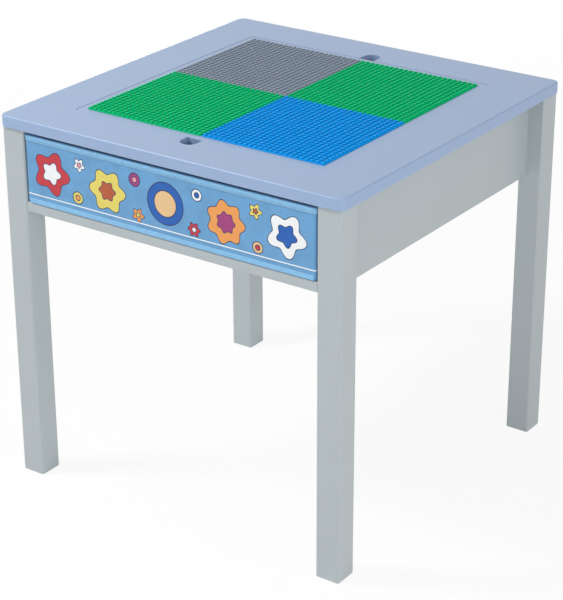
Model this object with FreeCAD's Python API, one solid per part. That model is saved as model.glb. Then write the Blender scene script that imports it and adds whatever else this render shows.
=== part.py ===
import FreeCAD, Part
import os
from FreeCAD import Placement, Rotation, Vector

# Children's play table: a lift-out building panel in a framed top, four square legs,
# set-back aprons, a shelf between them and a fabric toy bin that slides on the shelf.
# X runs along the front, Y goes to the back, Z goes up. The origin is on the floor, at the middle.
# All lengths are in millimetres.

# Overall height
TABLE_HEIGHT = 540.0

# Stud plates
STUD_PITCH = 8.0
STUDS_PER_SIDE = 24
STUD_RADIUS = 2.4
STUD_HEIGHT = 1.7
PLATE_THICKNESS = 1.3
PLATE_CORNER_RADIUS = 3.5
PLATE_GAP = 0.3

# Play panel
PANEL_MARGIN = 11.0
PANEL_THICKNESS = 9.0
PANEL_CORNER_RADIUS = 5.0
PANEL_EDGE_RADIUS = 0.4
PANEL_CLEARANCE = 0.5
PANEL_RECESS = 0.3

# Top frame
TOP_BORDER = 72.0
TOP_CORNER_RADIUS = 11.0
TOP_EDGE_RADIUS = 2.5
TOP_UNDER_RADIUS = 1.5
LEDGE_WIDTH = 12.0
LEDGE_THICKNESS = 7.7
FINGER_NOTCH_WIDTH = 25.0
FINGER_NOTCH_DEPTH = 25.0

# Legs
LEG_SECTION = 36.0
LEG_SETBACK = 3.0
LEG_EDGE_RADIUS = 2.8
FOOT_EDGE_RADIUS = 1.5

# Aprons
APRON_THICKNESS = 12.0
APRON_DROP = 3.0
APRON_EDGE_RADIUS = 2.0

# Storage shelf and the bay above it
BAY_HEIGHT = 101.5
SHELF_THICKNESS = 14.5
SHELF_FRONT_RECESS = 1.5
SHELF_EDGE_RADIUS = 2.0

# Toy bin
BIN_SIDE_CLEARANCE = 2.5
BIN_FRONT_RECESS = 1.2
BIN_BACK_CLEARANCE = 3.0
BIN_SHELF_CLEARANCE = 0.3
BIN_TOP_CLEARANCE = 4.8
BIN_CORNER_RADIUS = 3.0
BIN_INNER_CORNER_RADIUS = 1.5
COVER_THICKNESS = 1.0
LINING_THICKNESS = 0.8
WALL_BOARD_THICKNESS = 2.5
BASE_BOARD_THICKNESS = 3.0
BOARD_END_CLEARANCE = 3.0
BINDING_THICKNESS = 0.8
BINDING_HEIGHT = 7.2
TRIM_THICKNESS = 0.6
TRIM_HEIGHT = 7.2
TRIM_RISE = 0.5

# Dowels
APRON_DOWEL_RADIUS = 3.0
APRON_DOWEL_LENGTH = 30.0
SHELF_DOWEL_RADIUS = 3.0
SHELF_DOWEL_LENGTH = 24.0
SHELF_DOWEL_IN_APRON = 8.0
LEG_DOWEL_RADIUS = 4.0
LEG_DOWEL_LENGTH = 30.0
LEG_DOWEL_IN_TOP = 10.0

# Cam fittings
CAM_RADIUS = 6.0
CAM_DISTANCE = 20.0
CAM_BOTTOM_WALL = 0.5
CAM_CROSS_LENGTH = 7.0
CAM_CROSS_WIDTH = 1.2
CAM_CROSS_DEPTH = 1.5
BOLT_THREAD_RADIUS = 2.5
BOLT_THREAD_LENGTH = 8.0
BOLT_SHANK_RADIUS = 2.0
BOLT_HEAD_RADIUS = 2.8
BOLT_HEAD_LENGTH = 3.0
FITTING_CLEARANCE = 0.1
BOLT_CLEARANCE = 0.4

# Length by which cutting tools run past a face, and the distance below which two heights are one
OVERRUN = 1.0
SAME_HEIGHT = 0.001

# Where fittings stand, as shares of the board that carries them
APRON_DOWEL_SHARES = (0.2, 0.5, 0.8)
BACK_CAM_SHARES = (0.35, 0.65)
TOP_CAM_SHARES = (0.22, 0.78)
SHELF_BACK_CAM_SHARES = (0.25, 0.75)
SHELF_DOWEL_SHARES = (0.25, 0.75)

# The table is square in plan, so these places hold along X and along Y
PLATE_REACH = STUD_PITCH * STUDS_PER_SIDE
PANEL_HALF = PLATE_REACH + PANEL_MARGIN
WELL_HALF = PANEL_HALF + PANEL_CLEARANCE
TOP_HALF = WELL_HALF + TOP_BORDER
LEG_OUTER = TOP_HALF - LEG_SETBACK
LEG_INNER = LEG_OUTER - LEG_SECTION
LEG_MIDDLE = (LEG_OUTER + LEG_INNER) / 2
APRON_MIDDLE = LEG_INNER + APRON_THICKNESS / 2
SHELF_FRONT = -LEG_OUTER + SHELF_FRONT_RECESS
BIN_HALF_WIDTH = LEG_INNER - BIN_SIDE_CLEARANCE
BIN_FRONT = -LEG_OUTER + BIN_FRONT_RECESS
BIN_BACK = LEG_INNER - BIN_BACK_CLEARANCE
BIN_WALL = COVER_THICKNESS + WALL_BOARD_THICKNESS + LINING_THICKNESS

# Heights
PANEL_TOP = TABLE_HEIGHT - PANEL_RECESS
PANEL_BOTTOM = PANEL_TOP - PANEL_THICKNESS
TOP_UNDERSIDE = PANEL_BOTTOM - LEDGE_THICKNESS
SHELF_TOP = TOP_UNDERSIDE - BAY_HEIGHT
SHELF_BOTTOM = SHELF_TOP - SHELF_THICKNESS
SHELF_MIDDLE = (SHELF_TOP + SHELF_BOTTOM) / 2
APRON_BOTTOM = SHELF_BOTTOM - APRON_DROP
BIN_BOTTOM = SHELF_TOP + BIN_SHELF_CLEARANCE
BIN_RIM = TOP_UNDERSIDE - BIN_TOP_CLEARANCE - BINDING_THICKNESS

X_AXIS = Vector(1, 0, 0)
Y_AXIS = Vector(0, 1, 0)
Z_AXIS = Vector(0, 0, 1)
SIDES = (-1, 1)


def between(low, high, share):
    """The place at a share of the way from low to high."""
    return low + (high - low) * share


def block(x0, x1, y0, y1, z0, z1):
    """A box between two corners."""
    return Part.makeBox(x1 - x0, y1 - y0, z1 - z0, Vector(x0, y0, z0))


def edges_along(shape, axis):
    """The straight edges of a shape that run along an axis."""
    found = []
    for edge in shape.Edges:
        direction = edge.tangentAt(edge.FirstParameter)
        if isinstance(edge.Curve, Part.Line) and abs(direction.dot(axis)) > 0.99:
            found.append(edge)
    return found


def edges_at_height(shape, height):
    """The edges of a shape that lie wholly at one height."""
    found = []
    for edge in shape.Edges:
        box = edge.BoundBox
        if abs(box.ZMin - height) < SAME_HEIGHT and abs(box.ZMax - height) < SAME_HEIGHT:
            found.append(edge)
    return found


def rounded_block(x0, x1, y0, y1, z0, z1, radius):
    """A box whose upright edges are rounded."""
    shape = block(x0, x1, y0, y1, z0, z1)
    return shape.makeFillet(radius, edges_along(shape, Z_AXIS))


def square_slab(half, z0, z1, radius):
    """A square board about the table's middle, with rounded corners."""
    return rounded_block(-half, half, -half, half, z0, z1, radius)


def rod(radius, length, start, axis):
    """A round rod from a start point along an axis."""
    return Part.makeCylinder(radius, length, start, axis)


def save(shape, node):
    """Writes one piece, or one group of like pieces, as a node."""
    shape.exportStep("parts/" + node + ".step")


# Cam fittings


def cam_bolt(joint, axis):
    """Bolt screwed into one board at a joint face, with its head standing out along the axis."""
    thread = rod(BOLT_THREAD_RADIUS, BOLT_THREAD_LENGTH, joint - axis * BOLT_THREAD_LENGTH, axis)
    head_start = CAM_DISTANCE - BOLT_HEAD_LENGTH / 2
    shank = rod(BOLT_SHANK_RADIUS, head_start, joint, axis)
    head = rod(BOLT_HEAD_RADIUS, BOLT_HEAD_LENGTH, joint + axis * head_start, axis)
    return thread.fuse([shank, head])


def bolt_thread_hole(joint, axis):
    """Hole for the screwed end of a cam bolt."""
    length = BOLT_THREAD_LENGTH + FITTING_CLEARANCE
    return rod(BOLT_THREAD_RADIUS + FITTING_CLEARANCE, length + OVERRUN, joint - axis * length, axis)


def bolt_passage(joint, axis):
    """Edge hole that takes the shank and head of a cam bolt, up to the cam."""
    return rod(BOLT_HEAD_RADIUS + BOLT_CLEARANCE, CAM_DISTANCE + OVERRUN, joint - axis * OVERRUN, axis)


def cam_depth(board_thickness):
    """Depth of a cam whose bolt runs in the middle of a board."""
    return board_thickness / 2 + BOLT_HEAD_RADIUS + BOLT_CLEARANCE + CAM_BOTTOM_WALL


def cam_face(joint, axis, outward, board_thickness):
    """Middle of a cam's visible face, in the board face that looks outward."""
    return joint + axis * CAM_DISTANCE + outward * (board_thickness / 2)


def cam(joint, axis, outward, board_thickness):
    """Drum that grips a bolt head and lies flush in the board."""
    face = cam_face(joint, axis, outward, board_thickness)
    drum = rod(CAM_RADIUS, cam_depth(board_thickness), face, outward * -1)
    head_start = CAM_DISTANCE - BOLT_HEAD_LENGTH / 2 - BOLT_CLEARANCE
    head_room = rod(
        BOLT_HEAD_RADIUS + BOLT_CLEARANCE,
        BOLT_HEAD_LENGTH + BOLT_CLEARANCE * 2,
        joint + axis * head_start,
        axis,
    )
    shank_room = rod(BOLT_SHANK_RADIUS + BOLT_CLEARANCE, CAM_DISTANCE, joint, axis)
    return drum.cut([head_room, shank_room] + cam_cross(face, axis, outward))


def cam_cross(face, axis, outward):
    """Two crossed screwdriver slots in the face of a cam."""
    slots = []
    for along in (axis, axis.cross(outward)):
        slot = Part.makeBox(CAM_CROSS_LENGTH, CAM_CROSS_WIDTH, CAM_CROSS_DEPTH + OVERRUN)
        slot.translate(Vector(-CAM_CROSS_LENGTH / 2, -CAM_CROSS_WIDTH / 2, -CAM_CROSS_DEPTH))
        turn = Rotation(along, outward.cross(along), outward, "ZXY")
        slot.Placement = Placement(face, turn).multiply(slot.Placement)
        slots.append(slot)
    return slots


def cam_hole(joint, axis, outward, board_thickness):
    """Blind hole that holds a cam."""
    depth = cam_depth(board_thickness) + FITTING_CLEARANCE
    mouth = cam_face(joint, axis, outward, board_thickness) + outward * OVERRUN
    return rod(CAM_RADIUS + FITTING_CLEARANCE, depth + OVERRUN, mouth, outward * -1)


# Places of the cam fittings: each is a joint point and the way that the bolt head stands out


def back_cam_places():
    """Joints between the back apron's ends and the back legs."""
    places = []
    for side in SIDES:
        for share in BACK_CAM_SHARES:
            height = between(APRON_BOTTOM, TOP_UNDERSIDE, share)
            places.append((Vector(side * LEG_INNER, APRON_MIDDLE, height), X_AXIS * -side))
    return places


def top_side_cam_places(side):
    """Joints between one side apron and the top."""
    return [
        (Vector(side * APRON_MIDDLE, between(-LEG_INNER, LEG_INNER, share), TOP_UNDERSIDE), Z_AXIS * -1)
        for share in TOP_CAM_SHARES
    ]


def top_back_cam_places():
    """Joints between the back apron and the top."""
    return [
        (Vector(between(-LEG_INNER, LEG_INNER, share), APRON_MIDDLE, TOP_UNDERSIDE), Z_AXIS * -1)
        for share in TOP_CAM_SHARES
    ]


def shelf_front_cam_places():
    """Joints between the shelf and the front legs."""
    return [(Vector(side * LEG_INNER, -LEG_MIDDLE, SHELF_MIDDLE), X_AXIS * -side) for side in SIDES]


def shelf_back_cam_places():
    """Joints between the shelf and the back apron."""
    return [
        (Vector(between(-LEG_INNER, LEG_INNER, share), LEG_INNER, SHELF_MIDDLE), Y_AXIS * -1)
        for share in SHELF_BACK_CAM_SHARES
    ]


# Places of the dowels: each is a start point and an axis


def apron_dowel_starts():
    """Dowels between the side aprons' ends and the legs, half in each."""
    starts = []
    for side in SIDES:
        for end in SIDES:
            for share in APRON_DOWEL_SHARES:
                height = between(APRON_BOTTOM, TOP_UNDERSIDE, share)
                joint = Vector(side * APRON_MIDDLE, end * LEG_INNER, height)
                starts.append((joint - Y_AXIS * (APRON_DOWEL_LENGTH / 2), Y_AXIS))
    return starts


def shelf_dowel_starts():
    """Dowels between the shelf's ends and the side aprons."""
    starts = []
    for side in SIDES:
        for share in SHELF_DOWEL_SHARES:
            tip_x = side * (LEG_INNER + SHELF_DOWEL_IN_APRON)
            tip = Vector(tip_x, between(-LEG_INNER, LEG_INNER, share), SHELF_MIDDLE)
            starts.append((tip, X_AXIS * -side))
    return starts


def leg_dowel_starts():
    """Dowels between the legs' upper ends and the top."""
    tip_height = TOP_UNDERSIDE + LEG_DOWEL_IN_TOP
    return [(Vector(x * LEG_MIDDLE, y * LEG_MIDDLE, tip_height), Z_AXIS * -1) for x in SIDES for y in SIDES]


def dowels(radius, length, starts):
    """A group of dowels."""
    return Part.makeCompound([rod(radius, length, start, axis) for start, axis in starts])


def dowel_holes(radius, length, starts):
    """Holes that take a group of dowels, a little wider and longer than each."""
    width = radius + FITTING_CLEARANCE
    depth = length + FITTING_CLEARANCE * 2
    return [rod(width, depth, start - axis * FITTING_CLEARANCE, axis) for start, axis in starts]


def apron_dowel_holes():
    """Holes in the legs and the side aprons."""
    return dowel_holes(APRON_DOWEL_RADIUS, APRON_DOWEL_LENGTH, apron_dowel_starts())


def shelf_dowel_holes():
    """Holes in the shelf and the side aprons."""
    return dowel_holes(SHELF_DOWEL_RADIUS, SHELF_DOWEL_LENGTH, shelf_dowel_starts())


def leg_dowel_holes():
    """Holes in the legs and the top."""
    return dowel_holes(LEG_DOWEL_RADIUS, LEG_DOWEL_LENGTH, leg_dowel_starts())


# Wooden pieces


def finger_notch(end):
    """Slot with a round end, cut through the frame beside the panel and through the ledge under it."""
    radius = FINGER_NOTCH_WIDTH / 2
    centre = end * (WELL_HALF + FINGER_NOTCH_DEPTH - radius)
    floor = TOP_UNDERSIDE - OVERRUN
    roof = TABLE_HEIGHT + OVERRUN
    y_faces = sorted((end * (WELL_HALF - LEDGE_WIDTH - OVERRUN), centre))
    slot = block(-radius, radius, *y_faces, floor, roof)
    return slot.fuse(rod(radius, roof - floor, Vector(0, centre, floor), Z_AXIS))


def top_frame():
    """Top board with a stepped well for the panel and a finger notch at its front and back."""
    board = square_slab(TOP_HALF, TOP_UNDERSIDE, TABLE_HEIGHT, TOP_CORNER_RADIUS)
    board = board.makeFillet(TOP_EDGE_RADIUS, edges_at_height(board, TABLE_HEIGHT))
    board = board.makeFillet(TOP_UNDER_RADIUS, edges_at_height(board, TOP_UNDERSIDE))
    well_radius = PANEL_CORNER_RADIUS + PANEL_CLEARANCE
    floor = TOP_UNDERSIDE - OVERRUN
    cuts = [
        square_slab(WELL_HALF, PANEL_BOTTOM, TABLE_HEIGHT + OVERRUN, well_radius),
        square_slab(WELL_HALF - LEDGE_WIDTH, floor, PANEL_BOTTOM + OVERRUN, well_radius),
    ]
    for end in SIDES:
        cuts.append(finger_notch(end))
    for joint, axis in top_side_cam_places(-1) + top_side_cam_places(1) + top_back_cam_places():
        cuts.append(bolt_thread_hole(joint, axis))
    return board.cut(cuts + leg_dowel_holes())


def leg(side, end):
    """Square leg with eased edges, drilled where aprons, shelf and top are joined to it."""
    x_faces = sorted((side * LEG_INNER, side * LEG_OUTER))
    y_faces = sorted((end * LEG_INNER, end * LEG_OUTER))
    post = rounded_block(*x_faces, *y_faces, 0, TOP_UNDERSIDE, LEG_EDGE_RADIUS)
    post = post.makeFillet(FOOT_EDGE_RADIUS, edges_at_height(post, 0))
    bolt_places = back_cam_places() + shelf_front_cam_places()
    bolt_holes = [bolt_thread_hole(joint, axis) for joint, axis in bolt_places]
    return post.cut(bolt_holes + apron_dowel_holes() + leg_dowel_holes())


def eased_below(board, axis):
    """A standing board whose lower long edges are eased."""
    lower_edges = [edge for edge in edges_along(board, axis) if edge.CenterOfMass.z < SHELF_BOTTOM]
    return board.makeFillet(APRON_EDGE_RADIUS, lower_edges)


def side_apron(side):
    """Board between the front and back leg of one side, flush with their inner faces."""
    x_faces = sorted((side * LEG_INNER, side * (LEG_INNER + APRON_THICKNESS)))
    board = block(*x_faces, -LEG_INNER, LEG_INNER, APRON_BOTTOM, TOP_UNDERSIDE)
    cuts = apron_dowel_holes() + shelf_dowel_holes()
    for joint, axis in top_side_cam_places(side):
        cuts.append(bolt_passage(joint, axis))
        cuts.append(cam_hole(joint, axis, X_AXIS * -side, APRON_THICKNESS))
    return eased_below(board, Y_AXIS).cut(cuts)


def back_apron():
    """Board between the back legs, flush with their inner faces."""
    y_faces = (LEG_INNER, LEG_INNER + APRON_THICKNESS)
    board = block(-LEG_INNER, LEG_INNER, *y_faces, APRON_BOTTOM, TOP_UNDERSIDE)
    cuts = [bolt_thread_hole(joint, axis) for joint, axis in shelf_back_cam_places()]
    for joint, axis in back_cam_places() + top_back_cam_places():
        cuts.append(bolt_passage(joint, axis))
        cuts.append(cam_hole(joint, axis, Y_AXIS * -1, APRON_THICKNESS))
    return eased_below(board, X_AXIS).cut(cuts)


def storage_shelf():
    """Board between the front legs and the aprons that the toy bin slides on."""
    board = block(-LEG_INNER, LEG_INNER, SHELF_FRONT, LEG_INNER, SHELF_BOTTOM, SHELF_TOP)
    front_edges = [edge for edge in edges_along(board, X_AXIS) if edge.CenterOfMass.y < -LEG_INNER]
    board = board.makeFillet(SHELF_EDGE_RADIUS, front_edges)
    cuts = shelf_dowel_holes()
    for joint, axis in shelf_front_cam_places() + shelf_back_cam_places():
        cuts.append(bolt_passage(joint, axis))
        cuts.append(cam_hole(joint, axis, Z_AXIS * -1, SHELF_THICKNESS))
    return board.cut(cuts)


# Building panel


def play_panel():
    """Flat panel with eased upper edges that drops into the well of the top."""
    board = square_slab(PANEL_HALF, PANEL_BOTTOM, PANEL_TOP, PANEL_CORNER_RADIUS)
    return board.makeFillet(PANEL_EDGE_RADIUS, edges_at_height(board, PANEL_TOP))


def stud_plate():
    """One moulded plate with a square grid of studs, its inner corner at the panel's middle."""
    edges = (PLATE_GAP / 2, PLATE_REACH - PLATE_GAP / 2)
    plate_top = PANEL_TOP + PLATE_THICKNESS
    plate = rounded_block(*edges, *edges, PANEL_TOP, plate_top, PLATE_CORNER_RADIUS)
    studs = []
    for column in range(STUDS_PER_SIDE):
        for row in range(STUDS_PER_SIDE):
            foot = Vector(STUD_PITCH * (column + 0.5), STUD_PITCH * (row + 0.5), plate_top)
            studs.append(rod(STUD_RADIUS, STUD_HEIGHT, foot, Z_AXIS))
    return plate.multiFuse(studs)


# Toy bin


def bin_block(inset, z0, z1):
    """A solid block inset from the bin's outline, with corners no tighter than the bin's inner ones."""
    return rounded_block(
        -BIN_HALF_WIDTH + inset,
        BIN_HALF_WIDTH - inset,
        BIN_FRONT + inset,
        BIN_BACK - inset,
        z0,
        z1,
        max(BIN_CORNER_RADIUS - inset, BIN_INNER_CORNER_RADIUS),
    )


def bin_cover():
    """Outer fabric of the bin, an open box."""
    hollow = bin_block(COVER_THICKNESS, BIN_BOTTOM + COVER_THICKNESS, BIN_RIM + OVERRUN)
    return bin_block(0, BIN_BOTTOM, BIN_RIM).cut(hollow)


def bin_lining():
    """Inner fabric of the bin, over the boards."""
    floor = BIN_BOTTOM + COVER_THICKNESS + BASE_BOARD_THICKNESS
    hollow = bin_block(BIN_WALL, floor + LINING_THICKNESS, BIN_RIM + OVERRUN)
    return bin_block(BIN_WALL - LINING_THICKNESS, floor, BIN_RIM).cut(hollow)


def bin_base_board():
    """Stiff board under the lining."""
    floor = BIN_BOTTOM + COVER_THICKNESS
    return bin_block(BIN_WALL - LINING_THICKNESS, floor, floor + BASE_BOARD_THICKNESS)


def bin_cross_board(outer_face, inward):
    """Stiff board in the front or back wall."""
    face = outer_face + inward * COVER_THICKNESS
    y_faces = sorted((face, face + inward * WALL_BOARD_THICKNESS))
    reach = BIN_HALF_WIDTH - BIN_CORNER_RADIUS - BOARD_END_CLEARANCE
    return block(-reach, reach, *y_faces, BIN_BOTTOM + COVER_THICKNESS, BIN_RIM)


def bin_side_board(side):
    """Stiff board in one side wall."""
    face = side * (BIN_HALF_WIDTH - COVER_THICKNESS)
    x_faces = sorted((face, face - side * WALL_BOARD_THICKNESS))
    margin = BIN_CORNER_RADIUS + BOARD_END_CLEARANCE
    return block(*x_faces, BIN_FRONT + margin, BIN_BACK - margin, BIN_BOTTOM + COVER_THICKNESS, BIN_RIM)


def bin_top_binding():
    """Folded tape that caps the rim of the bin all round."""
    low = BIN_RIM - BINDING_HEIGHT
    top = BIN_RIM + BINDING_THICKNESS
    floor = low - OVERRUN
    tape = bin_block(-BINDING_THICKNESS, low, top)
    tape = tape.cut(bin_block(BIN_WALL + BINDING_THICKNESS, floor, top + OVERRUN))
    rim_wall = bin_block(0, floor, BIN_RIM).cut(bin_block(BIN_WALL, floor, BIN_RIM))
    return tape.cut(rim_wall)


def bin_front_trim():
    """Flat tape sewn along the bottom of the bin's front."""
    reach = BIN_HALF_WIDTH - BIN_CORNER_RADIUS
    low = BIN_BOTTOM + TRIM_RISE
    return block(-reach, reach, BIN_FRONT - TRIM_THICKNESS, BIN_FRONT, low, low + TRIM_HEIGHT)


# Export


def save_wood():
    """Top, legs, aprons and shelf."""
    save(top_frame(), "top_frame")
    for side, side_name in zip(SIDES, ("left", "right")):
        save(side_apron(side), "apron_" + side_name)
        for end, end_name in zip(SIDES, ("front", "back")):
            save(leg(side, end), "leg_" + end_name + "_" + side_name)
    save(back_apron(), "apron_back")
    save(storage_shelf(), "storage_shelf")


def save_cam_fittings(name, groups):
    """The bolts and the cams of one set of joints, each as a group."""
    bolts = []
    cams = []
    for places, outward, board_thickness in groups:
        for joint, axis in places:
            bolts.append(cam_bolt(joint, axis))
            cams.append(cam(joint, axis, outward, board_thickness))
    save(Part.makeCompound(bolts), name + "_cam_bolts")
    save(Part.makeCompound(cams), name + "_cams")


def save_fittings():
    """Dowels and cam fittings."""
    save(dowels(APRON_DOWEL_RADIUS, APRON_DOWEL_LENGTH, apron_dowel_starts()), "apron_dowels")
    save(dowels(SHELF_DOWEL_RADIUS, SHELF_DOWEL_LENGTH, shelf_dowel_starts()), "shelf_dowels")
    save(dowels(LEG_DOWEL_RADIUS, LEG_DOWEL_LENGTH, leg_dowel_starts()), "leg_dowels")
    save_cam_fittings("back_apron", [(back_cam_places(), Y_AXIS * -1, APRON_THICKNESS)])
    shelf_places = shelf_front_cam_places() + shelf_back_cam_places()
    save_cam_fittings("shelf", [(shelf_places, Z_AXIS * -1, SHELF_THICKNESS)])
    top_groups = [(top_side_cam_places(side), X_AXIS * -side, APRON_THICKNESS) for side in SIDES]
    top_groups.append((top_back_cam_places(), Y_AXIS * -1, APRON_THICKNESS))
    save_cam_fittings("top", top_groups)


def save_panel():
    """Lift-out panel and its four stud plates."""
    save(play_panel(), "play_panel")
    plate = stud_plate()
    for column, column_name in enumerate(("left", "right")):
        for row, row_name in enumerate(("front", "back")):
            moved = plate.copy()
            moved.translate(Vector((column - 1) * PLATE_REACH, (row - 1) * PLATE_REACH, 0))
            save(moved, "stud_plate_" + row_name + "_" + column_name)


def save_bin():
    """Fabric toy bin with its boards and tapes."""
    save(bin_cover(), "bin_cover")
    save(bin_lining(), "bin_lining")
    save(bin_base_board(), "bin_base_board")
    save(bin_cross_board(BIN_FRONT, 1), "bin_front_board")
    save(bin_cross_board(BIN_BACK, -1), "bin_back_board")
    save(bin_side_board(-1), "bin_left_board")
    save(bin_side_board(1), "bin_right_board")
    save(bin_top_binding(), "bin_top_binding")
    save(bin_front_trim(), "bin_front_trim")


os.makedirs("parts", exist_ok=True)
save_wood()
save_fittings()
save_panel()
save_bin()
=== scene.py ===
import math

import bmesh
import bpy
from bpy.props import FloatProperty, FloatVectorProperty, PointerProperty
from bpy.types import Operator, Panel, PropertyGroup
from mathutils import Matrix, Vector


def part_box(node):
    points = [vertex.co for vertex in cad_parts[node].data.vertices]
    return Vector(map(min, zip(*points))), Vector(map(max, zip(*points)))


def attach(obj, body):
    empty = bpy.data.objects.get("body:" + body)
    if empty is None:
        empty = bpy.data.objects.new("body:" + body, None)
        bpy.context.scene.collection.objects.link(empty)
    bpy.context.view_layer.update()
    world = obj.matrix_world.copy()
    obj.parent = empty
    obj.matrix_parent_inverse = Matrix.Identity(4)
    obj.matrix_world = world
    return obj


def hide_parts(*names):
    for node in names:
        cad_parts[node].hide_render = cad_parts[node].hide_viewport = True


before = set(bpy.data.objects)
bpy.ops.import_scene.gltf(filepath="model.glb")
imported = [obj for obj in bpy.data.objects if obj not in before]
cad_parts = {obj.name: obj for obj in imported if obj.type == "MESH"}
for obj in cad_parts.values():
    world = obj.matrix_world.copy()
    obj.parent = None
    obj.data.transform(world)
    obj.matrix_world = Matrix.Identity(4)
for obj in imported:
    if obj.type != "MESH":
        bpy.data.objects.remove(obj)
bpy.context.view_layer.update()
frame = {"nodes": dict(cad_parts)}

bl_info = {
    "name": "Kids Play Table",
    "version": (1, 0, 0),
    "blender": (4, 5, 0),
    "location": "3D View > Sidebar > Play Table",
    "description": "Dresses the play table: painted boards, stud plates and a cloth toy bin",
    "category": "Object",
}

MM = 0.001
NEAR = 0.01 * MM
ROUNDING_STEPS = 3
SMALL_ROUNDING_STEPS = 2

# Faces that meet at less than this are shaded as one
SMOOTH_ANGLE = math.radians(35)
CLOTH_SMOOTH_ANGLE = 2 * SMOOTH_ANGLE

# Pieces that stay as they were built and only get a finish
TOP_BOARDS = ("top_frame", "play_panel")
LEGS = ("leg_front_left", "leg_front_right", "leg_back_left", "leg_back_right")
SIDE_BOARDS = ("apron_left", "apron_right")
CROSS_BOARDS = ("apron_back", "storage_shelf")
STIFF_BOARDS = (
    "bin_base_board",
    "bin_front_board",
    "bin_back_board",
    "bin_left_board",
    "bin_right_board",
)
DOWELS = ("apron_dowels", "shelf_dowels", "leg_dowels")
METAL_FITTINGS = (
    "back_apron_cam_bolts",
    "back_apron_cams",
    "shelf_cam_bolts",
    "shelf_cams",
    "top_cam_bolts",
    "top_cams",
)


# Colours, lengths and settings


def linear(hex_colour):
    """An sRGB hex colour as linear red, green and blue."""
    parts = []
    for start in (1, 3, 5):
        value = int(hex_colour[start:start + 2], 16) / 255
        parts.append(value / 12.92 if value <= 0.04045 else ((value + 0.055) / 1.055) ** 2.4)
    return tuple(parts)


def opaque(colour):
    """A linear colour with full alpha, as colour sockets take it."""
    return (*colour, 1.0)


def length_setting(name, description, millimetres):
    """A length that a user can change."""
    return FloatProperty(
        name=name,
        description=description,
        default=millimetres * MM,
        min=0.0,
        unit="LENGTH",
        precision=5,
    )


def angle_setting(name, description, degrees):
    """An angle that a user can change."""
    return FloatProperty(
        name=name,
        description=description,
        default=math.radians(degrees),
        unit="ROTATION",
        subtype="ANGLE",
    )


def colour_setting(name, description, hex_colour):
    """A colour that a user can change."""
    return FloatVectorProperty(
        name=name,
        description=description,
        default=linear(hex_colour),
        size=3,
        min=0,
        max=1,
        subtype="COLOR",
    )


class PlayTablePaint(PropertyGroup):
    """Paint of the boards and legs."""

    top: colour_setting("Top", "Enamel on the top and the panel", "#97AED0")
    frame: colour_setting("Frame", "Enamel on the legs, aprons and shelf", "#B1BABD")


class PlayTableStuds(PropertyGroup):
    """Moulded stud plates."""

    pitch: length_setting("Pitch", "Distance between neighbouring studs", 8.0)
    radius: length_setting("Radius", "Radius of a stud", 2.4)
    height: length_setting("Height", "Height of a stud above its plate", 1.7)
    edge: length_setting("Edge", "Rounding of a stud's upper edge", 0.35)
    rim: length_setting("Rim", "Rounding of a plate's upper edge", 0.7)
    corner: length_setting("Corner", "Rounding of a plate's corners", 3.5)
    green: colour_setting("Green", "Plastic of the front left and back right plates", "#00B370")
    blue: colour_setting("Blue", "Plastic of the front right plate", "#0D93E0")
    grey: colour_setting("Grey", "Plastic of the back left plate", "#8691A0")


class PlayTableCloth(PropertyGroup):
    """Cloth of the toy bin."""

    cover: colour_setting("Cover", "Ground of the printed outer cloth", "#69A2D1")
    tape: colour_setting("Tape", "Binding and trim", "#8AC4EE")
    lining: colour_setting("Lining", "Inner cloth", "#B4C6D6")
    thread: colour_setting("Thread", "Sewing thread", "#A6D6F6")
    slack: length_setting("Slack", "How far the front cloth crowns between its seams", 1.1)
    spacing: length_setting("Spacing", "Distance between the points of the cloth's mesh", 6.0)
    # Wider than between real threads, so that the weave shows
    weave: length_setting("Weave", "Distance between two threads of the weave", 1.2)
    stitch_length: length_setting("Stitch length", "Length of one stitch", 3.0)
    stitch_pitch: length_setting("Stitch pitch", "Distance from one stitch to the next", 4.4)
    stitch_radius: length_setting("Stitch radius", "Half the thickness of the sewing thread", 0.28)


class PlayTableStage(PropertyGroup):
    """Camera of the stage."""

    azimuth: angle_setting("Azimuth", "Turn of the camera round the table", 35.18)
    elevation: angle_setting("Elevation", "Height of the camera above the horizon", 24.42)
    roll: angle_setting("Roll", "Tilt of the camera about its own axis", -0.22)
    distance: length_setting("Distance", "Camera to the point that it looks at", 2843.0)
    lens: FloatProperty(name="Lens", description="Focal length in millimetres", default=119.68, min=1.0)


class PlayTableSettings(PropertyGroup):
    """All settings of the play table."""

    paint: PointerProperty(type=PlayTablePaint)
    studs: PointerProperty(type=PlayTableStuds)
    cloth: PointerProperty(type=PlayTableCloth)
    stage: PointerProperty(type=PlayTableStage)


# Modelling helpers


def start_piece():
    """Deselects everything, so that the next operators meet only the new piece."""
    bpy.ops.object.select_all(action="DESELECT")


def place_piece(context, name, scale, location):
    """Names the new piece and puts its size and place into its mesh."""
    piece = context.object
    piece.name = name
    piece.data.name = name
    piece.scale = scale
    piece.location = location
    bpy.ops.object.transform_apply(location=True, rotation=True, scale=True)
    return piece


def choose_edges(piece, test):
    """Selects, in edit mode, only the edges that pass a test."""
    bpy.ops.mesh.select_mode(type="EDGE")
    bpy.ops.mesh.select_all(action="DESELECT")
    mesh = bmesh.from_edit_mesh(piece.data)
    for edge in mesh.edges:
        edge.select_set(test(edge))
    bmesh.update_edit_mesh(piece.data)


def at_height(height):
    """A test for edges that lie at one height."""
    return lambda edge: all(abs(vertex.co.z - height) < NEAR for vertex in edge.verts)


def is_sharp(edge):
    """Whether two faces meet at an edge too sharply to be shaded as one."""
    return edge.calc_face_angle(0) > SMOOTH_ANGLE


def extrude(offset):
    """Extrudes the selected edges or faces by an offset."""
    bpy.ops.mesh.extrude_region_move(TRANSFORM_OT_translate={"value": offset})


def held(value, low, high):
    """A number kept between two others."""
    return min(max(value, low), high)


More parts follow.
